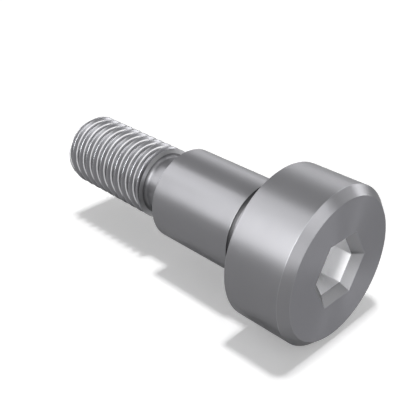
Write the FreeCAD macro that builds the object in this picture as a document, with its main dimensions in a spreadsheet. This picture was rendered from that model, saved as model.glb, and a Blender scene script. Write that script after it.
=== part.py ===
import FreeCAD, Part
import math
import os
import Sketcher

# Shoulder bolt, M8 thread under a ground 10 mm shoulder, with a plain round
# socket head. Millimetres. The bolt stands on its threaded tip: the origin is
# the centre of the tip's face and +Z runs up the axis to the head.

doc = FreeCAD.newDocument("shoulder_bolt")

# Driving dimensions
sheet = doc.addObject("Spreadsheet::Sheet", "Sizes")
SIZES = [
    ("thread_diameter", 8.0, "major diameter of the M8 thread, left plain here"),
    ("thread_length", 16.0, "tip to the end of the shoulder, relief included"),
    ("tip_chamfer", 0.5, "45 degree lead at the tip"),
    ("relief_diameter", 6.05, "neck between thread and shoulder, under the thread's root"),
    ("relief_width", 3.1, "length of that neck"),
    ("relief_fillet", 0.3, "corner radius at both ends of the neck"),
    ("shoulder_diameter", 10.0, "ground bearing diameter"),
    ("shoulder_length", 13.0, "end of the shoulder to the underside of the head"),
    ("shoulder_chamfer", 0.15, "broken edge at the shoulder's end"),
    ("undercut_width", 2.5, "grinding undercut below the head"),
    ("undercut_depth", 0.3, "how far the undercut goes below the shoulder"),
    ("undercut_fillet", 0.2, "corner radius at both ends of the undercut"),
    ("head_diameter", 16.0, "outside of the head"),
    ("head_height", 7.0, "underside to top face of the head"),
    ("head_chamfer", 0.8, "45 degree chamfer round the top face"),
    ("seat_chamfer", 0.15, "broken edge round the underside"),
    ("socket_width", 5.0, "hexagon across flats"),
    ("socket_depth", 4.5, "top face to the flat land at the socket's floor"),
    ("socket_chamfer", 0.8, "flat 45 degree lead-in on each side of the hexagon"),
    ("point_land", 0.2, "flat land between the socket's walls and its conical floor"),
    ("point_angle", 120.0, "full angle of the conical floor, in degrees"),
]
for row, (alias, value, meaning) in enumerate(SIZES, start=1):
    sheet.set("A%d" % row, alias)
    sheet.set("B%d" % row, str(value))
    sheet.set("C%d" % row, meaning)
    sheet.setAlias("B%d" % row, alias)
doc.recompute()

# The same sizes for the code below, which draws each sketch to size and finds
# edges by where they lie
NEAR = 1e-4
size = {alias: float(sheet.get(alias)) for alias, value, meaning in SIZES}
shoulder_end = size["thread_length"]
seat_height = shoulder_end + size["shoulder_length"]
top_height = seat_height + size["head_height"]
SEAT_HEIGHT = "Sizes.thread_length + Sizes.shoulder_length"
TOP_HEIGHT = SEAT_HEIGHT + " + Sizes.head_height"

body = doc.addObject("PartDesign::Body", "ShoulderBolt")
body.Label = "shoulder_bolt"


def origin_plane(role):
    """The body's own datum plane of that role."""
    return next(item for item in body.Origin.OriginFeatures if item.Role == role)


def new_sketch(name, role):
    """An empty sketch of the body on one of its datum planes."""
    sketch = body.newObject("Sketcher::SketchObject", name)
    sketch.AttachmentSupport = (origin_plane(role), [""])
    sketch.MapMode = "FlatFace"
    return sketch


def drive(sketch, constraint, name, formula):
    """Adds a constraint whose value follows the sheet."""
    index = sketch.addConstraint(constraint)
    sketch.renameConstraint(index, name)
    sketch.setExpression("Constraints." + name, formula)


def outline(sketch, corners):
    """Draws a closed outline of straight lines through the corners. A corner is
    (radius, height, name, radius formula, height formula), and its formulas
    place it from the origin; without one it lies on that axis."""
    ends = corners[1:] + corners[:1]
    for index, (start, end) in enumerate(zip(corners, ends)):
        line = Part.LineSegment(FreeCAD.Vector(start[0], start[1], 0), FreeCAD.Vector(end[0], end[1], 0))
        sketch.addGeometry(line, False)
        if index:
            sketch.addConstraint(Sketcher.Constraint("Coincident", index - 1, 2, index, 1))
    sketch.addConstraint(Sketcher.Constraint("Coincident", len(corners) - 1, 2, 0, 1))
    for index, (radius, height, name, radius_formula, height_formula) in enumerate(corners):
        if radius_formula is None:
            sketch.addConstraint(Sketcher.Constraint("PointOnObject", index, 1, -2))
        else:
            across = Sketcher.Constraint("DistanceX", -1, 1, index, 1, radius)
            drive(sketch, across, name + "_radius", radius_formula)
        if height_formula is None:
            sketch.addConstraint(Sketcher.Constraint("PointOnObject", index, 1, -1))
        else:
            up = Sketcher.Constraint("DistanceY", -1, 1, index, 1, height)
            drive(sketch, up, name + "_height", height_formula)


def spin(kind, name, sketch):
    """Revolves a sketch once round the bolt's axis, to add or to cut."""
    feature = body.newObject(kind, name)
    feature.Profile = sketch
    feature.ReferenceAxis = (sketch, ["V_Axis"])
    feature.Angle = 360.0
    sketch.Visibility = False
    doc.recompute()


def round_edges(feature, radius, height):
    """Names of the feature's full circles of that radius at that height."""
    found = []
    for index, edge in enumerate(feature.Shape.Edges, start=1):
        curve = edge.Curve
        if curve.TypeId != "Part::GeomCircle":
            continue
        if abs(curve.Radius - radius) < NEAR and abs(curve.Center.z - height) < NEAR:
            found.append("Edge%d" % index)
    return found


def socket_rim(feature):
    """Names of the six straight edges where the socket breaks the top face."""
    found = []
    for index, edge in enumerate(feature.Shape.Edges, start=1):
        level = abs(edge.BoundBox.ZMin - top_height) < NEAR and edge.BoundBox.ZLength < NEAR
        if edge.Curve.TypeId == "Part::GeomLine" and level:
            found.append("Edge%d" % index)
    return found


def dress(kind, name, edges, property_name, formula):
    """A fillet or chamfer on named edges of the body's last feature."""
    base = body.Tip
    feature = body.newObject(kind, name)
    feature.Base = (base, edges)
    feature.setExpression(property_name, formula)
    doc.recompute()


# Turned blank: threaded end, shoulder and head in one stepped profile
thread_radius = size["thread_diameter"] / 2
shoulder_radius = size["shoulder_diameter"] / 2
head_radius = size["head_diameter"] / 2
THREAD_RADIUS = "Sizes.thread_diameter / 2"
SHOULDER_RADIUS = "Sizes.shoulder_diameter / 2"
HEAD_RADIUS = "Sizes.head_diameter / 2"
SHOULDER_END = "Sizes.thread_length"
blank_profile = new_sketch("BlankProfile", "XZ_Plane")
outline(blank_profile, [
    (0, 0, "tip_centre", None, None),
    (thread_radius, 0, "tip", THREAD_RADIUS, None),
    (thread_radius, shoulder_end, "thread_end", THREAD_RADIUS, SHOULDER_END),
    (shoulder_radius, shoulder_end, "shoulder_end", SHOULDER_RADIUS, SHOULDER_END),
    (shoulder_radius, seat_height, "shoulder_start", SHOULDER_RADIUS, SEAT_HEIGHT),
    (head_radius, seat_height, "seat", HEAD_RADIUS, SEAT_HEIGHT),
    (head_radius, top_height, "top", HEAD_RADIUS, TOP_HEIGHT),
    (0, top_height, "top_centre", None, TOP_HEIGHT),
])
spin("PartDesign::Revolution", "TurnedBlank", blank_profile)
blank_volume = body.Shape.Volume

# Relief neck, where the thread tool runs out against the shoulder
relief_radius = size["relief_diameter"] / 2
relief_start = shoulder_end - size["relief_width"]
RELIEF_RADIUS = "Sizes.relief_diameter / 2"
RELIEF_START = SHOULDER_END + " - Sizes.relief_width"
relief_profile = new_sketch("ReliefProfile", "XZ_Plane")
outline(relief_profile, [
    (relief_radius, relief_start, "lower_inner", RELIEF_RADIUS, RELIEF_START),
    (shoulder_radius, relief_start, "lower_outer", SHOULDER_RADIUS, RELIEF_START),
    (shoulder_radius, shoulder_end, "upper_outer", SHOULDER_RADIUS, SHOULDER_END),
    (relief_radius, shoulder_end, "upper_inner", RELIEF_RADIUS, SHOULDER_END),
])
spin("PartDesign::Groove", "ThreadRelief", relief_profile)

# Undercut below the head, which lets the grinding wheel clear the corner
undercut_radius = shoulder_radius - size["undercut_depth"]
undercut_start = seat_height - size["undercut_width"]
UNDERCUT_RADIUS = SHOULDER_RADIUS + " - Sizes.undercut_depth"
UNDERCUT_START = SEAT_HEIGHT + " - Sizes.undercut_width"
undercut_profile = new_sketch("UndercutProfile", "XZ_Plane")
outline(undercut_profile, [
    (undercut_radius, undercut_start, "lower_inner", UNDERCUT_RADIUS, UNDERCUT_START),
    (head_radius, undercut_start, "lower_outer", HEAD_RADIUS, UNDERCUT_START),
    (head_radius, seat_height, "upper_outer", HEAD_RADIUS, SEAT_HEIGHT),
    (undercut_radius, seat_height, "upper_inner", UNDERCUT_RADIUS, SEAT_HEIGHT),
])
spin("PartDesign::Groove", "HeadUndercut", undercut_profile)
grooved_volume = body.Shape.Volume

# Hexagon socket, a corner on +X, sunk from the top face
socket_sketch = new_sketch("SocketHexagon", "XY_Plane")
socket_sketch.setExpression("AttachmentOffset.Base.z", TOP_HEIGHT)
corner_reach = size["socket_width"] / 3 ** 0.5
through_corners = Part.Circle(FreeCAD.Vector(0, 0, 0), FreeCAD.Vector(0, 0, 1), corner_reach)
corner_circle = socket_sketch.addGeometry(through_corners, True)
socket_sketch.addConstraint(Sketcher.Constraint("Coincident", corner_circle, 3, -1, 1))
hexagon_corners = []
for corner in range(6):
    turned = FreeCAD.Rotation(FreeCAD.Vector(0, 0, 1), 60 * corner)
    hexagon_corners.append(turned.multVec(FreeCAD.Vector(corner_reach, 0, 0)))
hexagon_sides = []
for start, end in zip(hexagon_corners, hexagon_corners[1:] + hexagon_corners[:1]):
    hexagon_sides.append(socket_sketch.addGeometry(Part.LineSegment(start, end), False))
for side, following in zip(hexagon_sides, hexagon_sides[1:] + hexagon_sides[:1]):
    socket_sketch.addConstraint(Sketcher.Constraint("Coincident", side, 2, following, 1))
    socket_sketch.addConstraint(Sketcher.Constraint("PointOnObject", side, 1, corner_circle))
for side in hexagon_sides[1:]:
    socket_sketch.addConstraint(Sketcher.Constraint("Equal", hexagon_sides[0], side))
socket_sketch.addConstraint(Sketcher.Constraint("PointOnObject", hexagon_sides[0], 1, -1))
corner_radius = Sketcher.Constraint("Radius", corner_circle, corner_reach)
drive(socket_sketch, corner_radius, "corner_reach", "Sizes.socket_width / sqrt(3)")
doc.recompute()
socket = body.newObject("PartDesign::Pocket", "HexSocket")
socket.Profile = socket_sketch
socket.Type = "Length"
socket.setExpression("Length", "Sizes.socket_depth")
socket_sketch.Visibility = False
doc.recompute()
socket_volume = grooved_volume - body.Shape.Volume

# Conical floor that the punch leaves below the socket's flats
point_radius = size["socket_width"] / 2 - size["point_land"]
socket_floor = top_height - size["socket_depth"]
point_depth = point_radius / math.tan(math.radians(size["point_angle"] / 2))
POINT_RADIUS = "Sizes.socket_width / 2 - Sizes.point_land"
SOCKET_FLOOR = TOP_HEIGHT + " - Sizes.socket_depth"
POINT_DEPTH = "(" + POINT_RADIUS + ") / tan(Sizes.point_angle / 2 * 1 deg)"
point_profile = new_sketch("PointProfile", "XZ_Plane")
outline(point_profile, [
    (0, socket_floor - point_depth, "apex", None, SOCKET_FLOOR + " - " + POINT_DEPTH),
    (point_radius, socket_floor, "land", POINT_RADIUS, SOCKET_FLOOR),
    (point_radius, top_height, "clear", POINT_RADIUS, TOP_HEIGHT),
    (0, top_height, "clear_centre", None, TOP_HEIGHT),
])
spin("PartDesign::Groove", "SocketPoint", point_profile)

# Flat lead-in facets round the hexagon
dress("PartDesign::Chamfer", "SocketLead", socket_rim(body.Tip), "Size", "Sizes.socket_chamfer")

# Turned chamfers and broken edges
dress("PartDesign::Chamfer", "HeadChamfer", round_edges(body.Tip, head_radius, top_height),
      "Size", "Sizes.head_chamfer")
dress("PartDesign::Chamfer", "SeatBreak", round_edges(body.Tip, head_radius, seat_height),
      "Size", "Sizes.seat_chamfer")
dress("PartDesign::Chamfer", "ShoulderBreak", round_edges(body.Tip, shoulder_radius, shoulder_end),
      "Size", "Sizes.shoulder_chamfer")
dress("PartDesign::Chamfer", "TipChamfer", round_edges(body.Tip, thread_radius, 0),
      "Size", "Sizes.tip_chamfer")

# Radii in the corners of the neck and of the undercut, which spare them stress
relief_corners = round_edges(body.Tip, relief_radius, relief_start)
relief_corners += round_edges(body.Tip, relief_radius, shoulder_end)
dress("PartDesign::Fillet", "ReliefFillets", relief_corners, "Radius", "Sizes.relief_fillet")
undercut_corners = round_edges(body.Tip, undercut_radius, undercut_start)
undercut_corners += round_edges(body.Tip, undercut_radius, seat_height)
dress("PartDesign::Fillet", "UndercutFillets", undercut_corners, "Radius", "Sizes.undercut_fillet")

# The finished bolt is one sound solid, and each cut took what it should
doc.recompute()
for item in doc.Objects:
    if "Invalid" in item.State or "Error" in item.State:
        raise RuntimeError("%s failed: %s" % (item.Name, item.State))
shape = body.Shape
if shape.isNull() or not shape.isValid() or len(shape.Solids) != 1:
    raise RuntimeError("the bolt is not one valid solid")
socket_outline = Part.Wire(Part.sortEdges(socket_sketch.Shape.Edges)[0])
expected_volume = Part.Face(socket_outline).Area * socket.Length.Value
if abs(socket_volume - expected_volume) > NEAR * expected_volume:
    raise RuntimeError("the socket cut %.3f mm3, not %.3f" % (socket_volume, expected_volume))
if not shape.Volume < grooved_volume < blank_volume:
    raise RuntimeError("a groove or chamfer removed nothing")

print("faces", len(shape.Faces), "volume", round(shape.Volume, 3), "box", shape.BoundBox)
os.makedirs("parts", exist_ok=True)
shape.exportStep("parts/%s.step" % body.Label)
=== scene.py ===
import math

import bmesh
import bpy
from mathutils import Matrix, Vector


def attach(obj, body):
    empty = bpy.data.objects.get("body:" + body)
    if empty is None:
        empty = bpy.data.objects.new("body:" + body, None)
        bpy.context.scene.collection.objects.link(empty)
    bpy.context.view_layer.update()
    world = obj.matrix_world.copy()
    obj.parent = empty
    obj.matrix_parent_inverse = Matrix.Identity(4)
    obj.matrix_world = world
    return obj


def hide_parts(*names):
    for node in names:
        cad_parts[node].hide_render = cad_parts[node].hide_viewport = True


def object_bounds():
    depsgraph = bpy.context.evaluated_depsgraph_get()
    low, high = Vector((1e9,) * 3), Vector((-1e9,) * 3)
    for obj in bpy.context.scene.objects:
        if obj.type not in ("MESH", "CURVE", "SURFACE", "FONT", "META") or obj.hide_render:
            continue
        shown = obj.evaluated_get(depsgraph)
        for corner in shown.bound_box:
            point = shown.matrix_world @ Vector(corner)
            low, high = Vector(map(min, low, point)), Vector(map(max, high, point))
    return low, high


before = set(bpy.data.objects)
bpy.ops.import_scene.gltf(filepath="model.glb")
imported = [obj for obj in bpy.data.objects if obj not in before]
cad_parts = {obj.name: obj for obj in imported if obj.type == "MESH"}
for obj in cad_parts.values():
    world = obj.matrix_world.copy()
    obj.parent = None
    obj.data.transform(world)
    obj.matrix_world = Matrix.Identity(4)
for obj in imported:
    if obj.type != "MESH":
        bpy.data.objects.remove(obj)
cad_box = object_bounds()
mm = 0.001


# Rolled thread
# The lower end of the bolt is a right-hand M8 thread of the coarse pitch. It is rolled cold between
# two dies, so its roots are round and its flat crests shine. It starts in the chamfer of the tip and
# fades out in a collar just below the neck.
thread_radius = 4.0 * mm
pitch = 1.25 * mm
root_depth = 0.767 * mm
root_fillet = 0.18 * mm
flank_angle = 60.0  # from the bolt's axis
tip_radius = 3.5 * mm
collar_height = 12.9 * mm
first_crest = 0.155 * mm  # height of the lowest whole crest above the hexagon's corner on +X
crest_rounding = 0.08 * mm
fade_rounding = 0.12 * mm
fade_slope = 2.2  # the collar's cone falls this much for each unit out, and closes the groove
columns = 180  # vertices round the bolt, thirty for each side of the hexagon
rows_per_turn = 32
turns_below = 2  # turns that the grid starts under the first crest, to be trimmed off at the tip
turns = math.ceil(collar_height / pitch) + turns_below + 1  # one more reaches the collar all round
merge_distance = 0.0002 * mm  # closes seams and trimmed rows, and nothing else is as fine


def put(tree, kind, inputs, output=0, **settings):
    """Adds a node, feeds the inputs that are named or numbered, and returns one of its outputs."""
    node = tree.nodes.new(kind)
    for setting, value in settings.items():
        setattr(node, setting, value)
    for key, value in inputs.items():
        if isinstance(value, bpy.types.NodeSocket):
            tree.links.new(value, node.inputs[key])
        else:
            node.inputs[key].default_value = value
    return node.outputs[output]


def reckon(tree, operation, *values):
    """Adds a Math node and returns its result."""
    return put(tree, "ShaderNodeMath", dict(enumerate(values)), operation=operation)


def blend(tree, share, first, second):
    """Mixes two colours and returns the result."""
    return put(tree, "ShaderNodeMix", {0: share, 6: first, 7: second}, 2, data_type="RGBA")


def fade(tree, value, start, end, low, high):
    """Maps a value between start and end to low and high, and holds it beyond them."""
    reach = {"Value": value, "From Min": start, "From Max": end, "To Min": low, "To Max": high}
    return put(tree, "ShaderNodeMapRange", reach)


axial_weight = 1.3  # height against radius, unequal so that a 45 degree chamfer has lines as well


def lathe_lines(tree, across, around):
    """Returns a place for a pattern that is fine across the cut and long around it, per mm."""
    place = put(tree, "ShaderNodeTexCoord", {}, "Object")
    flat = put(tree, "ShaderNodeVectorMath", {0: place, 1: (1, 1, 0)}, operation="MULTIPLY")
    radius = put(tree, "ShaderNodeVectorMath", {0: flat}, "Value", operation="LENGTH")
    height = put(tree, "ShaderNodeVectorMath", {0: place, 1: (0, 0, 1)}, "Value", operation="DOT_PRODUCT")
    along = reckon(tree, "SUBTRACT", reckon(tree, "MULTIPLY", height, axial_weight), radius)
    fine = put(tree, "ShaderNodeCombineXYZ", {"Z": reckon(tree, "MULTIPLY", along, across / mm)})
    slow = put(tree, "ShaderNodeVectorMath", {0: flat, "Scale": around / mm}, operation="SCALE")
    return put(tree, "ShaderNodeVectorMath", {0: fine, 1: slow}, operation="ADD")


def punch_lines(tree, across, around):
    """Returns a place for a pattern of scratches that run up and down the bolt, per mm."""
    place = put(tree, "ShaderNodeTexCoord", {}, "Object")
    stretch = (across / mm, across / mm, around / mm)
    return put(tree, "ShaderNodeMapping", {"Vector": place, "Scale": stretch})


# Painted shade: the dark colour that fills the fillets and inside corners.
corner_shade_colour = (0.08, 0.08, 0.082, 1)
corner_shade_cover = 0.7  # how far full painted shade darkens the metal in a corner
corner_shade_roughness = 0.35  # the roughness added where a corner is painted dark
mark_share = 0.6  # of the tool's marks in a finish, beside the clouds
cloud_scale = 0.4 / mm
noise_detail = 3.0
colour_swing = 0.06  # how far marks and clouds darken and lighten the colour
rubbed_gain = 1.25  # how much brighter a rubbed edge is
rubbed_polish = 0.08  # roughness that rubbing takes off
least_rub = 0.2  # share of the rubbing that reaches every part of an edge
cut_grain = 0.8  # how far the tool's marks stretch a highlight
cut_turn = 0.25  # a quarter turn, which stretches it along the bolt
grazing_tint = (0.6, 0.6, 0.6, 1)  # keeps the round sides from whitening at their edges


def steel(name, lines, across, around, colour, roughness, uneven, depth, grain=cut_grain):
    """Makes one finish of the bolt's steel: fine marks, faint clouds, rubbed edges, and corners painted
    dark as shade and made rougher.
    """
    material = bpy.data.materials.new(name)
    material.use_nodes = True
    tree = material.node_tree
    shader = tree.nodes["Principled BSDF"]
    noise = {"Scale": 1.0, "Detail": noise_detail}
    marks = put(tree, "ShaderNodeTexNoise", noise | {"Vector": lines(tree, across, around)})
    place = put(tree, "ShaderNodeTexCoord", {}, "Object")
    clouds = put(tree, "ShaderNodeTexNoise", noise | {"Vector": place, "Scale": cloud_scale})
    wear_and_shade = put(tree, "ShaderNodeAttribute", {}, "Fac", attribute_name="wear_and_shade")

    marks = reckon(tree, "MULTIPLY", marks, mark_share)
    mottle = reckon(tree, "ADD", marks, reckon(tree, "MULTIPLY", clouds, 1 - mark_share))
    dull = [part * (1 - colour_swing) for part in colour] + [1]
    fresh = [part * (1 + colour_swing) for part in colour] + [1]
    rubbed = [part * rubbed_gain for part in colour] + [1]
    skin = blend(tree, mottle, dull, fresh)
    rub = reckon(tree, "MULTIPLY", wear_and_shade, reckon(tree, "ADD", clouds, least_rub))
    edged = blend(tree, rub, skin, rubbed)
    # Below zero, the same attribute marks the fillets, which are painted dark as shade and made rougher.
    corner_shade = reckon(tree, "MAXIMUM", reckon(tree, "MULTIPLY", wear_and_shade, -corner_shade_cover), 0)
    tree.links.new(blend(tree, corner_shade, edged, corner_shade_colour), shader.inputs["Base Color"])

    # The mottle seldom leaves the range from 0.25 to 0.75.
    rough = fade(tree, mottle, 0.25, 0.75, roughness - uneven, roughness + uneven)
    rough = reckon(tree, "SUBTRACT", rough, reckon(tree, "MULTIPLY", rub, rubbed_polish))
    rough = reckon(tree, "MULTIPLY_ADD", corner_shade, corner_shade_roughness, rough)
    tree.links.new(rough, shader.inputs["Roughness"])

    relief = put(tree, "ShaderNodeBump", {"Height": mottle, "Distance": depth, "Strength": 1.0})
    tree.links.new(relief, shader.inputs["Normal"])
    shader.inputs["Metallic"].default_value = 1.0
    shader.inputs["Specular Tint"].default_value = grazing_tint
    shader.inputs["Anisotropic"].default_value = grain
    shader.inputs["Anisotropic Rotation"].default_value = cut_turn
    return material


# The dies press the thread, so no cut runs round it. A bright line painted down each flank and a lighter
# root are painted highlights.
rolled_steel = steel(
    "rolled steel", lathe_lines, across=9, around=0.5,
    colour=(0.15, 0.15, 0.158), roughness=0.3, uneven=0.03, depth=0.3e-6, grain=0.0,
)
highlight_line_depth = 0.52  # where the painted highlight line lies, as a share of the groove's depth
highlight_line_width = 0.07
highlight_line_colour = (0.55, 0.55, 0.56, 1)
highlight_line_roughness = 0.3  # what the line adds
root_highlight = 0.15  # how far the root is painted lighter as a highlight, beside the line

rolled_tree = rolled_steel.node_tree
rolled_shader = rolled_tree.nodes["Principled BSDF"]
# Painted highlight: the line and the root are mixed towards a light colour in the rolled steel.
groove_share = put(rolled_tree, "ShaderNodeAttribute", {}, "Fac", attribute_name="groove")
off_line = reckon(rolled_tree, "ABSOLUTE", reckon(rolled_tree, "SUBTRACT", groove_share, highlight_line_depth))
line = fade(rolled_tree, off_line, highlight_line_width * 0.5, highlight_line_width * 1.5, 1.0, 0.0)
root = fade(rolled_tree, groove_share, highlight_line_depth, highlight_line_depth + highlight_line_width, 0.0, root_highlight)
painted_highlight = reckon(rolled_tree, "MAXIMUM", line, root)
pressed_colour = rolled_shader.inputs["Base Color"].links[0].from_socket
highlit_colour = blend(rolled_tree, painted_highlight, pressed_colour, highlight_line_colour)
rolled_tree.links.new(highlit_colour, rolled_shader.inputs["Base Color"])
pressed_roughness = rolled_shader.inputs["Roughness"].links[0].from_socket
highlit_roughness = reckon(rolled_tree, "MULTIPLY_ADD", painted_highlight, highlight_line_roughness, pressed_roughness)
rolled_tree.links.new(highlit_roughness, rolled_shader.inputs["Roughness"])

thread_tree = bpy.data.node_groups.new("rolled thread", "GeometryNodeTree")
thread_tree.interface.new_socket("Bolt", in_out="OUTPUT", socket_type="NodeSocketGeometry")
thread_sizes = {
    "Thread Radius": thread_radius,
    "Pitch": pitch,
    "Root Depth": root_depth,
    "Root Fillet": root_fillet,
    "Flank Angle": math.radians(flank_angle),
    "Tip Radius": tip_radius,
    "Collar Height": collar_height,
    "First Crest": first_crest,
    "Crest Rounding": crest_rounding,
    "Fade Rounding": fade_rounding,
    "Fade Slope": fade_slope,
    "Turns": turns,
    "Columns": columns,
    "Rows per Turn": rows_per_turn,
    "Steel": rolled_steel,
}
kinds = {float: "NodeSocketFloat", int: "NodeSocketInt", bpy.types.Material: "NodeSocketMaterial"}
sockets = {
    name: thread_tree.interface.new_socket(name, in_out="INPUT", socket_type=kinds[type(value)])
    for name, value in thread_sizes.items()
}
given = thread_tree.nodes.new("NodeGroupInput").outputs


def roll(operation, *values):
    """Adds a Math node to the thread's tree and returns its result."""
    return reckon(thread_tree, operation, *values)


def shape_node(kind, inputs):
    """Adds a geometry node to the thread's tree and returns its first output."""
    return put(thread_tree, kind, inputs)


# The grid's rows climb one pitch in each turn, so that they run along the crests and roots.
grid_size = {
    "Size X": 1.0,
    "Size Y": given["Turns"],
    "Vertices X": roll("ADD", given["Columns"], 1),
    "Vertices Y": roll("MULTIPLY_ADD", given["Turns"], given["Rows per Turn"], 1),
}
grid = shape_node("GeometryNodeMeshGrid", grid_size)
spot = thread_tree.nodes.new("ShaderNodeSeparateXYZ")
thread_tree.links.new(shape_node("GeometryNodeInputPosition", {}), spot.inputs[0])
turned = roll("ADD", spot.outputs["X"], 0.5)
climb = roll("MULTIPLY_ADD", given["Turns"], 0.5, roll("ADD", spot.outputs["Y"], turned))
start = roll("MULTIPLY_ADD", given["Pitch"], -turns_below, given["First Crest"])
height = roll("MULTIPLY_ADD", climb, given["Pitch"], start)
height = roll("MAXIMUM", roll("MINIMUM", height, given["Collar Height"]), 0)

# The distance from the nearest root, measured up the bolt, gives the groove's depth there.
turns_up = roll("DIVIDE", roll("SUBTRACT", height, given["First Crest"]), given["Pitch"])
phase = roll("FRACT", roll("SUBTRACT", turns_up, turned))
off_root = roll("MULTIPLY", roll("ABSOLUTE", roll("SUBTRACT", phase, 0.5)), given["Pitch"])
fillet_end = roll("MULTIPLY", given["Root Fillet"], roll("SINE", given["Flank Angle"]))
in_fillet = roll("MINIMUM", off_root, fillet_end)
on_flank = roll("MAXIMUM", roll("SUBTRACT", off_root, fillet_end), 0)
chord = roll("SUBTRACT", roll("POWER", given["Root Fillet"], 2), roll("POWER", in_fillet, 2))
hollow = roll("SUBTRACT", given["Root Fillet"], roll("SQRT", chord))
rise = roll("MULTIPLY_ADD", on_flank, roll("TANGENT", given["Flank Angle"]), hollow)
floor_radius = roll("SUBTRACT", given["Thread Radius"], given["Root Depth"])
radius = roll("ADD", floor_radius, rise)
radius = roll("SMOOTH_MIN", radius, given["Thread Radius"], given["Crest Rounding"])

# The collar's cone closes the groove at the top, and the tip's chamfer trims it at the bottom.
to_collar = roll("SUBTRACT", given["Collar Height"], height)
cone = roll("SUBTRACT", given["Thread Radius"], roll("MULTIPLY", to_collar, given["Fade Slope"]))
radius = roll("SMOOTH_MAX", radius, cone, given["Fade Rounding"])
chamfer = roll("ADD", given["Tip Radius"], height)
radius = roll("SMOOTH_MIN", radius, chamfer, given["Fade Rounding"])
radius = roll("MINIMUM", radius, given["Thread Radius"])
past_tip = roll("GREATER_THAN", height, 0)
over_tip = roll("SUBTRACT", radius, given["Tip Radius"])
radius = roll("MULTIPLY_ADD", over_tip, past_tip, given["Tip Radius"])

# The crests are rubbed bright, and the groove's depth tells the painted highlight line where to lie.
below_crest = roll("SUBTRACT", given["Thread Radius"], radius)
rubbing = roll("SUBTRACT", 1, roll("DIVIDE", below_crest, given["Crest Rounding"]))
rubbing = roll("MAXIMUM", rubbing, 0)
groove = roll("DIVIDE", below_crest, given["Root Depth"])
angle = roll("MULTIPLY", turned, math.tau)
across_x = roll("MULTIPLY", radius, roll("COSINE", angle))
across_y = roll("MULTIPLY", radius, roll("SINE", angle))
place = shape_node("ShaderNodeCombineXYZ", {"X": across_x, "Y": across_y, "Z": height})

store = "GeometryNodeStoreNamedAttribute"
shape = shape_node(store, {"Geometry": grid, "Name": "wear_and_shade", "Value": rubbing})
shape = shape_node(store, {"Geometry": shape, "Name": "groove", "Value": groove})
shape = shape_node("GeometryNodeSetPosition", {"Geometry": shape, "Position": place})
shape = shape_node("GeometryNodeMergeByDistance", {"Geometry": shape, "Distance": merge_distance})
shape = shape_node("GeometryNodeRealizeInstances", {"Geometry": shape})
shape = shape_node("GeometryNodeSetMaterial", {"Geometry": shape, "Material": given["Steel"]})
thread_tree.links.new(shape, thread_tree.nodes.new("NodeGroupOutput").inputs[0])

blank = bpy.data.objects.new("thread blank", bpy.data.meshes.new("thread blank"))
bpy.context.scene.collection.objects.link(blank)
rolling = blank.modifiers.new("rolling", "NODES")
rolling.node_group = thread_tree
for name, value in thread_sizes.items():
    rolling[sockets[name].identifier] = value
rolled_blank = blank.evaluated_get(bpy.context.evaluated_depsgraph_get())
rolled_mesh = bpy.data.meshes.new_from_object(rolled_blank)
blank.modifiers.clear()
bpy.data.objects.remove(blank)


# Neck
# Between thread and shoulder the blank is turned down below the thread's root, so that the dies run
# free and the shoulder can seat. Both corners of the neck keep the radius of the tool.
neck_radius = 3.025 * mm
neck_top = 16.0 * mm
neck_fillet = 0.3 * mm
neck_corner_shade = 0.3  # a little painted shade in the corners

turned_steel = steel(
    "turned steel", lathe_lines, across=12, around=0.25,
    colour=(0.17, 0.17, 0.178), roughness=0.42, uneven=0.05, depth=0.4e-6,
)
# Painted light: the collar's face is painted lighter than the turned steel, as light on it.
collar_steel_painted_bright = steel(
    "collar steel painted bright", lathe_lines, across=12, around=0.25,
    colour=(0.42, 0.42, 0.43), roughness=0.42, uneven=0.05, depth=0.4e-6,
)

outline = []  # the blank's corners from the collar upwards


def turn_to(radius, height, rounding, finish, sides=0, corner_shade=0):
    """Adds a corner to the outline. The finish is that of the surface that leads on from it."""
    at = Vector((radius, height))
    outline.append({"at": at, "rounding": rounding, "finish": finish, "sides": sides, "corner_shade": corner_shade})


turn_to(thread_radius, collar_height, 0, collar_steel_painted_bright)
turn_to(neck_radius, collar_height, neck_fillet, turned_steel, corner_shade=neck_corner_shade)
turn_to(neck_radius, neck_top, neck_fillet, turned_steel, corner_shade=neck_corner_shade)


# Shoulder
# The shoulder is the bearing surface, ground between centres to a close fit and finer than the rest.
# An undercut at its upper end gives the wheel room to run out below the head.
shoulder_radius = 5.0 * mm
shoulder_break = 0.15 * mm
head_seat = 29.0 * mm
undercut_depth = 0.3 * mm
undercut_width = 2.5 * mm
undercut_radius = shoulder_radius - undercut_depth
undercut_start = head_seat - undercut_width
undercut_fillet = 0.2 * mm
sharp = 0.04 * mm  # what is left of an edge that a file has touched

ground_steel = steel(
    "ground steel", lathe_lines, across=18, around=0.6,
    colour=(0.17, 0.17, 0.178), roughness=0.4, uneven=0.035, depth=0.25e-6,
)

turn_to(shoulder_radius - shoulder_break, neck_top, sharp, turned_steel)
turn_to(shoulder_radius, neck_top + shoulder_break, sharp, ground_steel)
turn_to(shoulder_radius, undercut_start, sharp, turned_steel)
# The undercut's fillets are painted dark as shade.
turn_to(undercut_radius, undercut_start, undercut_fillet, turned_steel, corner_shade=1)
turn_to(undercut_radius, head_seat, undercut_fillet, turned_steel, corner_shade=1)


# Head
# The round head is turned from the same bar, with a broad chamfer round its upper face. The face is
# faced off in rings and the side is left as it came from the tool.
head_radius = cad_box[1].x
head_top = cad_box[1].z
head_chamfer = 0.8 * mm
seat_break = 0.15 * mm

faced_steel = steel(
    "faced steel", lathe_lines, across=10, around=0.2,
    colour=(0.19, 0.19, 0.203), roughness=0.42, uneven=0.04, depth=0.3e-6,
)

turn_to(head_radius - seat_break, head_seat, sharp, turned_steel)
turn_to(head_radius, head_seat + seat_break, sharp, turned_steel)
turn_to(head_radius, head_top - head_chamfer, sharp, turned_steel)
turn_to(head_radius - head_chamfer, head_top, sharp, faced_steel)


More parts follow.
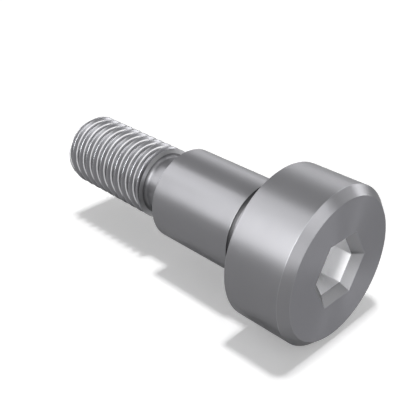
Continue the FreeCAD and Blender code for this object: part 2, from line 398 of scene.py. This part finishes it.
# Hexagon socket
# A punch drives the hexagon into the head over a drilled hole, which leaves the cone at its floor.
# Six flat lead-in facets at the mouth meet in mitres. The walls and the floor are painted bright, as light
# in the deep socket.
socket_flat = 2.5 * mm  # from the middle to a side
socket_depth = 4.5 * mm
socket_floor = head_top - socket_depth
lead_in = 0.8 * mm
corner_radius = 0.1 * mm
cone_radius = 2.3 * mm
cone_slope = math.tan(math.radians(30))

punched_steel = steel(
    "punched steel", punch_lines, across=10, around=0.35,
    colour=(0.22, 0.22, 0.228), roughness=0.42, uneven=0.05, depth=0.4e-6,
)
# Painted light: the walls are painted nearly white and the drilled floor light grey, in place of light
# that the deep socket lacks.
wall_steel_painted_bright = steel(
    "wall steel painted bright", punch_lines, across=12, around=0.3,
    colour=(0.95, 0.95, 0.96), roughness=0.34, uneven=0.04, depth=0.2e-6,
)
drilled_steel_painted_bright = steel(
    "drilled steel painted bright", lathe_lines, across=8, around=0.2,
    colour=(0.7, 0.7, 0.71), roughness=0.4, uneven=0.04, depth=0.6e-6,
)

turn_to(socket_flat + lead_in, head_top, sharp, punched_steel, sides=6)
turn_to(socket_flat, head_top - lead_in, sharp, wall_steel_painted_bright, sides=6)
# The corner at the socket's floor is painted dark as shade.
turn_to(socket_flat, socket_floor, corner_radius, drilled_steel_painted_bright, sides=6, corner_shade=1)
turn_to(cone_radius, socket_floor, sharp, drilled_steel_painted_bright)
turn_to(0, socket_floor - cone_radius * cone_slope, 0, drilled_steel_painted_bright)


# One solid bolt
# The rolled thread and the turned blank are the two ends of one bar. The outline is swept round the
# axis, joined to the collar and closed at the tip, so the bolt is one shell without a seam.
arc_step = math.radians(15)
plain_margin = 0.5  # strip beside a rounding that shades flat, as a share of its radius
corner_steps = 3  # columns on each half of a hexagon's round corner
tip_ring = 0.9  # an inner ring that keeps the tip's shading flat, as a share of its radius
crease_angle = math.radians(40)


def rounded(before, corner, after):
    """Returns the points that round one corner, with a plain point close by on either side."""
    to_before = (before["at"] - corner["at"]).normalized()
    to_after = (after["at"] - corner["at"]).normalized()
    opening = to_before.angle(to_after)
    rounding = corner["rounding"]
    setback = rounding / math.tan(opening / 2)
    middle = (to_before + to_after).normalized() * rounding / math.sin(opening / 2)
    first = (to_before * setback - middle).normalized()
    last = (to_after * setback - middle).normalized()
    steps = max(2, round((math.pi - opening) / arc_step))
    heart = corner["at"] + middle
    wear_and_shade = 1 if rounding <= sharp else -corner["corner_shade"]  # sharp edges are rubbed bright, fillets below zero get painted shade
    arc = [(heart + first.slerp(last, step / steps) * rounding, wear_and_shade) for step in range(steps + 1)]
    margin = setback + rounding * plain_margin
    return [(corner["at"] + to_before * margin, 0), *arc, (corner["at"] + to_after * margin, 0)]


def ring_place(column, radius, height, sides):
    """Returns a vertex of a ring: round, or a hexagon with small round corners at this half width."""
    if not sides:
        angle = math.tau * column / columns
        return Vector((radius * math.cos(angle), radius * math.sin(angle), height))
    per_side = columns // sides
    side = round(column / per_side)
    step = column - side * per_side
    half_side = math.pi / sides
    heart = (radius - corner_radius) / math.cos(half_side)
    swing = half_side * max(-1, min(1, step / corner_steps))
    spot = Vector((heart + corner_radius * math.cos(swing), corner_radius * math.sin(swing)))
    if abs(step) > corner_steps:
        half_length = math.copysign(radius * math.sin(half_side), step)
        side_middle = Vector((radius * math.cos(half_side), half_length))
        spot = spot.lerp(side_middle, (abs(step) - corner_steps) / (per_side / 2 - corner_steps))
    return Matrix.Rotation(side * 2 * half_side, 3, "Z") @ Vector((spot.x, spot.y, height))


finishes = [
    rolled_steel,
    collar_steel_painted_bright,
    turned_steel,
    ground_steel,
    faced_steel,
    punched_steel,
    wall_steel_painted_bright,
    drilled_steel_painted_bright,
]
shell = bmesh.new()
shell.from_mesh(rolled_mesh)
for face in shell.faces:
    face.material_index = finishes.index(rolled_steel)
wear_and_shade_layer = shell.verts.layers.float["wear_and_shade"]


def add_ring(radius, height, wear_and_shade, sides=0):
    """Adds one ring of vertices, or a single vertex on the axis."""
    count = columns if radius else 1
    ring = [shell.verts.new(ring_place(column, radius, height, sides)) for column in range(count)]
    for vertex in ring:
        vertex[wear_and_shade_layer] = wear_and_shade
    return ring


def add_band(lower, upper, finish):
    """Joins two rings with faces that look outwards when the outline runs up the bolt."""
    for column in range(columns):
        following = column + 1
        corners = [lower[column % len(lower)], lower[following % len(lower)]]
        corners += [upper[following % len(upper)], upper[column % len(upper)]]
        face = shell.faces.new(dict.fromkeys(corners))
        face.material_index = finishes.index(finish)


collar, apex = outline[0], outline[-1]
ring = add_ring(*collar["at"], wear_and_shade=1)
finish = collar["finish"]
for before, corner, after in zip(outline, outline[1:], outline[2:]):
    for point, wear_and_shade in rounded(before, corner, after):
        next_ring = add_ring(*point, wear_and_shade=wear_and_shade, sides=corner["sides"])
        add_band(ring, next_ring, finish)
        ring = next_ring
        # A fillet is cut together with the surface above it, and an edge with the one below it.
        if corner["rounding"] > sharp:
            finish = corner["finish"]
    finish = corner["finish"]
add_band(ring, add_ring(*apex["at"], wear_and_shade=0), finish)

tip_rings = [add_ring(radius, 0, wear_and_shade=0) for radius in (0, tip_radius * tip_ring, tip_radius)]
for inner, outer in zip(tip_rings, tip_rings[1:]):
    add_band(inner, outer, turned_steel)

bmesh.ops.remove_doubles(shell, verts=shell.verts, dist=merge_distance)
bolt_mesh = bpy.data.meshes.new("shoulder bolt")
shell.to_mesh(bolt_mesh)
shell.free()
bpy.data.meshes.remove(rolled_mesh)
bolt_mesh.shade_smooth()
bolt_mesh.set_sharp_from_angle(angle=crease_angle)
for finish in finishes:
    bolt_mesh.materials.append(finish)

bolt = bpy.data.objects.new("bolt", bolt_mesh)
bpy.context.scene.collection.objects.link(bolt)
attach(bolt, "root")
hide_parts("shoulder_bolt")


# Floor
# A plain white table. The bolt lies above it on the rim of its head, as in the photo, so in the
# bolt's own frame the table stands upright beside it, square to one side of the hexagon.
floor_size = 0.6
floor_bearing = -150.0  # the side of the bolt that faces up, from +X in degrees
floor_colour = (0.95, 0.95, 0.95, 1)
floor_lift = 0.28  # what brings the lit table to white without more light on the bolt

floor_mesh = bpy.data.meshes.new("floor")
half = floor_size / 2
floor_corners = [(-half, -half, 0), (half, -half, 0), (half, half, 0), (-half, half, 0)]
floor_mesh.from_pydata(floor_corners, [], [(0, 1, 2, 3)])
floor = bpy.data.objects.new("floor", floor_mesh)
floor.rotation_euler = (0, math.pi / 2, math.radians(floor_bearing))
floor_turn = Matrix.Rotation(math.radians(floor_bearing), 3, "Z")
floor.location = floor_turn @ Vector((-head_radius, 0, 0))
bpy.context.scene.collection.objects.link(floor)


def seen_ray(tree):
    """Returns 1 for a ray that shows the surface, straight, mirrored or through glass, and 0 for light."""
    path = tree.nodes.new("ShaderNodeLightPath").outputs
    mirrored = reckon(tree, "MAXIMUM", path["Is Glossy Ray"], path["Is Transmission Ray"])
    return reckon(tree, "MAXIMUM", path["Is Camera Ray"], mirrored)


# The table shows from its front only, so that it hides nothing from behind.
white_table = bpy.data.materials.new("white table")
white_table.use_nodes = True
table_tree = white_table.node_tree
table_shader = table_tree.nodes["Principled BSDF"]
table_shader.inputs["Base Color"].default_value = floor_colour
table_shader.inputs["Roughness"].default_value = 1.0
table_shader.inputs["Specular IOR Level"].default_value = 0.0
table_shader.inputs["Emission Color"].default_value = (1, 1, 1, 1)
lift = reckon(table_tree, "MULTIPLY", seen_ray(table_tree), floor_lift)
table_tree.links.new(lift, table_shader.inputs["Emission Strength"])
behind = put(table_tree, "ShaderNodeNewGeometry", {}, "Backfacing")
clear = put(table_tree, "ShaderNodeBsdfTransparent", {})
surface = put(table_tree, "ShaderNodeMixShader", {0: behind, 1: table_shader.outputs[0], 2: clear})
table_tree.links.new(surface, table_tree.nodes["Material Output"].inputs["Surface"])
floor_mesh.materials.append(white_table)


# Studio light
# A small softbox stands straight above the table and throws the one shadow. Large dim panels draw
# the bright bands down the round sides. Bearings count from the camera's side, seen from the head.
camera_bearing = -99.2  # from +X, in degrees
room_light = 0.3
aim_height = 22 * mm  # about the middle of the shoulder

world = bpy.data.worlds.new("studio")
world.use_nodes = True
bpy.context.scene.world = world
world_tree = world.node_tree
strength = reckon(world_tree, "MULTIPLY_ADD", seen_ray(world_tree), 1 - room_light, room_light)
background = world_tree.nodes["Background"]
background.inputs["Color"].default_value = (1, 1, 1, 1)
world_tree.links.new(strength, background.inputs["Strength"])


def lamp(name, bearing, elevation, width, height, glow, distance=0.5):
    """Hangs an area lamp of an even glow that faces the shoulder."""
    light = bpy.data.lights.new(name, "AREA")
    light.shape = "RECTANGLE"
    light.size = width
    light.size_y = height
    light.energy = glow * math.pi * width * height
    holder = bpy.data.objects.new(name, light)
    bpy.context.scene.collection.objects.link(holder)
    turn = math.radians(camera_bearing + bearing)
    rise = math.radians(elevation)
    level = math.cos(rise)
    away = Vector((math.cos(turn) * level, math.sin(turn) * level, math.sin(rise)))
    holder.location = Vector((0, 0, aim_height)) + away * distance
    holder.rotation_euler = away.to_track_quat("Z", "Y").to_euler()
    return holder


overhead = floor_bearing - camera_bearing
softbox = lamp("softbox", overhead, elevation=0, width=0.11, height=0.11, glow=138.7, distance=1.0)
softbox.visible_glossy = False  # the panels stand in for it in the metal
panels = [
    lamp("front panel", bearing=3, elevation=8, width=0.36, height=0.2, glow=25),
    lamp("low panel", bearing=-35, elevation=-38, width=0.24, height=0.35, glow=4),
    lamp("high panel", bearing=-56, elevation=50, width=0.38, height=0.12, glow=9.5),
    lamp("high strip", bearing=22, elevation=57, width=0.12, height=0.12, glow=1.5),
    lamp("back panel", bearing=-98, elevation=3, width=0.16, height=0.14, glow=8),
    lamp("side panel", bearing=-121, elevation=-30, width=0.2, height=0.4, glow=2.5),
    lamp("side strip", bearing=-131, elevation=17, width=0.16, height=0.12, glow=10.5),
]
for panel in panels:
    panel.visible_diffuse = False  # they show in the metal and leave the table to the softbox


# Camera
# It looks down on the standing bolt's head from in front and is rolled, so that the bolt lies
# slanting across the picture with its head to the lower right.
camera_out = 60.97 * mm
camera_height = 65.59 * mm
looks_down = 37.93
roll_angle = 116.55
lens = 66.24

toward_camera = math.radians(camera_bearing)
camera = bpy.data.objects.new("camera", bpy.data.cameras.new("camera"))
camera.data.lens = lens
camera.data.clip_start = 1 * mm
camera.location = (
    camera_out * math.cos(toward_camera),
    camera_out * math.sin(toward_camera),
    camera_height,
)
aim = (
    Matrix.Rotation(toward_camera + math.pi / 2, 3, "Z")
    @ Matrix.Rotation(math.radians(90 - looks_down), 3, "X")
    @ Matrix.Rotation(math.radians(roll_angle), 3, "Z")
)
camera.rotation_euler = aim.to_euler()
bpy.context.scene.collection.objects.link(camera)
bpy.context.scene.camera = camera
bpy.context.scene.view_settings.view_transform = "Standard"
